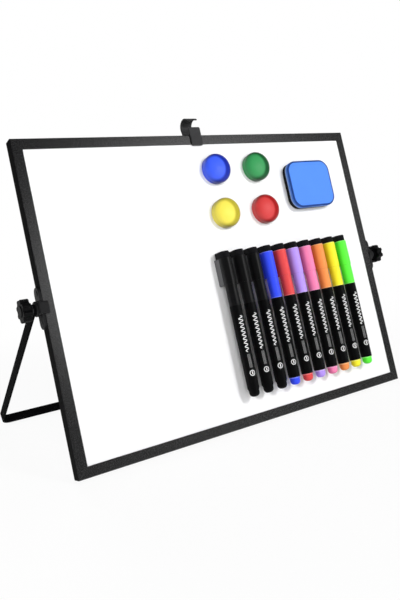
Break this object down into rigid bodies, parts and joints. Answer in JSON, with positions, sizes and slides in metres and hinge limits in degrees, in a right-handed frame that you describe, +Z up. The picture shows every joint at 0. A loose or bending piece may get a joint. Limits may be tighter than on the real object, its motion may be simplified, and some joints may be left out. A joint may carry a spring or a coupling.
{
  "type": "whiteboard easel",
  "caption": "Framed white magnetic board leaning on a swinging U stand clamped by star knobs, with a hook clip, round magnets, eraser and magnetic-cap markers.",
  "frame": {"origin": "on the desk surface, at the centre of the box round the whole set", "axes": "+X across the board to the right of someone facing it, +Y away from that person, +Z up"},
  "size_m": [0.439, 0.211, 0.3099],
  "materials": {
    "black_frame": "black powder coat, fine satin grain",
    "white_steel": "glossy white writing lacquer",
    "board_core": "raw fibreboard",
    "grey_nylon": "moulded nylon",
    "black_moulding": "fine-grained moulding",
    "blackened_steel": "blackened",
    "black_strip": "black powder coat",
    "magnet_blue": "polished moulding",
    "magnet_green": "polished moulding",
    "magnet_yellow": "polished moulding",
    "magnet_red": "polished moulding",
    "eraser_foam": "fine closed-cell foam",
    "black_felt": "pressed felt",
    "barrel_black": "satin moulding",
    "cap_black": "polished moulding",
    "cap_blue": "polished moulding",
    "cap_red": "polished moulding",
    "cap_lilac": "polished moulding",
    "cap_pink": "polished moulding",
    "cap_orange": "polished moulding",
    "cap_yellow": "polished moulding",
    "cap_lime": "polished moulding"
  },
  "bodies": {
    "board": {"top_rail": "black_frame", "right_rail": "black_frame", "bottom_rail": "black_frame", "left_rail": "black_frame", "corner_keys": "grey_nylon", "front_sheet": "white_steel", "board_core": "board_core", "back_sheet": "white_steel", "left_saddle": "black_moulding", "right_saddle": "black_moulding", "saddle_screws": "blackened_steel", "pivot_bolts": "blackened_steel"},
    "stand": {"stand_frame": "black_strip", "washers": "blackened_steel"},
    "left_knob": {"left_knob": "black_moulding"},
    "right_knob": {"right_knob": "black_moulding"},
    "hook_clip": {"hook_clip": "black_moulding"},
    "magnet_blue": {"magnet_blue": "magnet_blue"},
    "magnet_green": {"magnet_green": "magnet_green"},
    "magnet_yellow": {"magnet_yellow": "magnet_yellow"},
    "magnet_red": {"magnet_red": "magnet_red"},
    "eraser": {"eraser_foam": "eraser_foam", "eraser_felt": "black_felt"},
    "marker_01_cap": {"marker_01_cap": "cap_black", "marker_01_tip": "black_felt"},
    "marker_01_pen": {"marker_01_barrel": "barrel_black"},
    "marker_02_cap": {"marker_02_cap": "cap_black", "marker_02_tip": "black_felt"},
    "marker_02_pen": {"marker_02_barrel": "barrel_black"},
    "marker_03_cap": {"marker_03_cap": "cap_black", "marker_03_tip": "black_felt"},
    "marker_03_pen": {"marker_03_barrel": "barrel_black"},
    "marker_04_cap": {"marker_04_cap": "cap_blue", "marker_04_tip": "black_felt"},
    "marker_04_pen": {"marker_04_barrel": "barrel_black", "marker_04_plug": "cap_blue"},
    "marker_05_cap": {"marker_05_cap": "cap_red", "marker_05_tip": "black_felt"},
    "marker_05_pen": {"marker_05_barrel": "barrel_black", "marker_05_plug": "cap_red"},
    "marker_06_cap": {"marker_06_cap": "cap_lilac", "marker_06_tip": "black_felt"},
    "marker_06_pen": {"marker_06_barrel": "barrel_black", "marker_06_plug": "cap_lilac"},
    "marker_07_cap": {"marker_07_cap": "cap_pink", "marker_07_tip": "black_felt"},
    "marker_07_pen": {"marker_07_barrel": "barrel_black", "marker_07_plug": "cap_pink"},
    "marker_08_cap": {"marker_08_cap": "cap_orange", "marker_08_tip": "black_felt"},
    "marker_08_pen": {"marker_08_barrel": "barrel_black", "marker_08_plug": "cap_orange"},
    "marker_09_cap": {"marker_09_cap": "cap_yellow", "marker_09_tip": "black_felt"},
    "marker_09_pen": {"marker_09_barrel": "barrel_black", "marker_09_plug": "cap_yellow"},
    "marker_10_cap": {"marker_10_cap": "cap_lime", "marker_10_tip": "black_felt"},
    "marker_10_pen": {"marker_10_barrel": "barrel_black", "marker_10_plug": "cap_lime"}
  },
  "joints": [
    {"name": "stand_swing", "type": "hinge", "parent": "board", "child": "stand", "pos_m": [0, -0.05405, 0.14621], "axis": [1, 0, 0], "continuous": true},
    {"name": "left_knob_turn", "type": "hinge", "parent": "board", "child": "left_knob", "pos_m": [-0.214, -0.05405, 0.14621], "axis": [-1, 0, 0], "continuous": true},
    {"name": "right_knob_turn", "type": "hinge", "parent": "board", "child": "right_knob", "pos_m": [0.214, -0.05405, 0.14621], "axis": [1, 0, 0], "continuous": true},
    {"name": "hook_slide", "type": "slide", "parent": "board", "child": "hook_clip", "axis": [1, 0, 0], "range_m": [-0.1757, 0.1917]},
    {"name": "magnet_blue_lift", "type": "slide", "parent": "board", "child": "magnet_blue", "axis": [0, -0.9641, 0.2656], "range_m": [0, 0.04]},
    {"name": "magnet_green_lift", "type": "slide", "parent": "board", "child": "magnet_green", "axis": [0, -0.9641, 0.2656], "range_m": [0, 0.04]},
    {"name": "magnet_yellow_lift", "type": "slide", "parent": "board", "child": "magnet_yellow", "axis": [0, -0.9641, 0.2656], "range_m": [0, 0.04]},
    {"name": "magnet_red_lift", "type": "slide", "parent": "board", "child": "magnet_red", "axis": [0, -0.9641, 0.2656], "range_m": [0, 0.04]},
    {"name": "eraser_lift", "type": "slide", "parent": "board", "child": "eraser", "axis": [0, -0.9641, 0.2656], "range_m": [0, 0.04]},
    {"name": "marker_01_lift", "type": "slide", "parent": "board", "child": "marker_01_cap", "axis": [0, -0.9641, 0.2656], "range_m": [0, 0.04]},
    {"name": "marker_01_uncap", "type": "slide", "parent": "marker_01_cap", "child": "marker_01_pen", "axis": [0, -0.2656, -0.9641], "range_m": [0, 0.024]},
    {"name": "marker_02_lift", "type": "slide", "parent": "board", "child": "marker_02_cap", "axis": [0, -0.9641, 0.2656], "range_m": [0, 0.04]},
    {"name": "marker_02_uncap", "type": "slide", "parent": "marker_02_cap", "child": "marker_02_pen", "axis": [0, -0.2656, -0.9641], "range_m": [0, 0.024]},
    {"name": "marker_03_lift", "type": "slide", "parent": "board", "child": "marker_03_cap", "axis": [0, -0.9641, 0.2656], "range_m": [0, 0.04]},
    {"name": "marker_03_uncap", "type": "slide", "parent": "marker_03_cap", "child": "marker_03_pen", "axis": [0, -0.2656, -0.9641], "range_m": [0, 0.024]},
    {"name": "marker_04_lift", "type": "slide", "parent": "board", "child": "marker_04_cap", "axis": [0, -0.9641, 0.2656], "range_m": [0, 0.04]},
    {"name": "marker_04_uncap", "type": "slide", "parent": "marker_04_cap", "child": "marker_04_pen", "axis": [0, -0.2656, -0.9641], "range_m": [0, 0.024]},
    {"name": "marker_05_lift", "type": "slide", "parent": "board", "child": "marker_05_cap", "axis": [0, -0.9641, 0.2656], "range_m": [0, 0.04]},
    {"name": "marker_05_uncap", "type": "slide", "parent": "marker_05_cap", "child": "marker_05_pen", "axis": [0, -0.2656, -0.9641], "range_m": [0, 0.024]},
    {"name": "marker_06_lift", "type": "slide", "parent": "board", "child": "marker_06_cap", "axis": [0, -0.9641, 0.2656], "range_m": [0, 0.04]},
    {"name": "marker_06_uncap", "type": "slide", "parent": "marker_06_cap", "child": "marker_06_pen", "axis": [0, -0.2656, -0.9641], "range_m": [0, 0.024]},
    {"name": "marker_07_lift", "type": "slide", "parent": "board", "child": "marker_07_cap", "axis": [0, -0.9641, 0.2656], "range_m": [0, 0.04]},
    {"name": "marker_07_uncap", "type": "slide", "parent": "marker_07_cap", "child": "marker_07_pen", "axis": [0, -0.2656, -0.9641], "range_m": [0, 0.024]},
    {"name": "marker_08_lift", "type": "slide", "parent": "board", "child": "marker_08_cap", "axis": [0, -0.9641, 0.2656], "range_m": [0, 0.04]},
    {"name": "marker_08_uncap", "type": "slide", "parent": "marker_08_cap", "child": "marker_08_pen", "axis": [0, -0.2656, -0.9641], "range_m": [0, 0.024]},
    {"name": "marker_09_lift", "type": "slide", "parent": "board", "child": "marker_09_cap", "axis": [0, -0.9641, 0.2656], "range_m": [0, 0.04]},
    {"name": "marker_09_uncap", "type": "slide", "parent": "marker_09_cap", "child": "marker_09_pen", "axis": [0, -0.2656, -0.9641], "range_m": [0, 0.024]},
    {"name": "marker_10_lift", "type": "slide", "parent": "board", "child": "marker_10_cap", "axis": [0, -0.9641, 0.2656], "range_m": [0, 0.04]},
    {"name": "marker_10_uncap", "type": "slide", "parent": "marker_10_cap", "child": "marker_10_pen", "axis": [0, -0.2656, -0.9641], "range_m": [0, 0.024]}
  ]
}
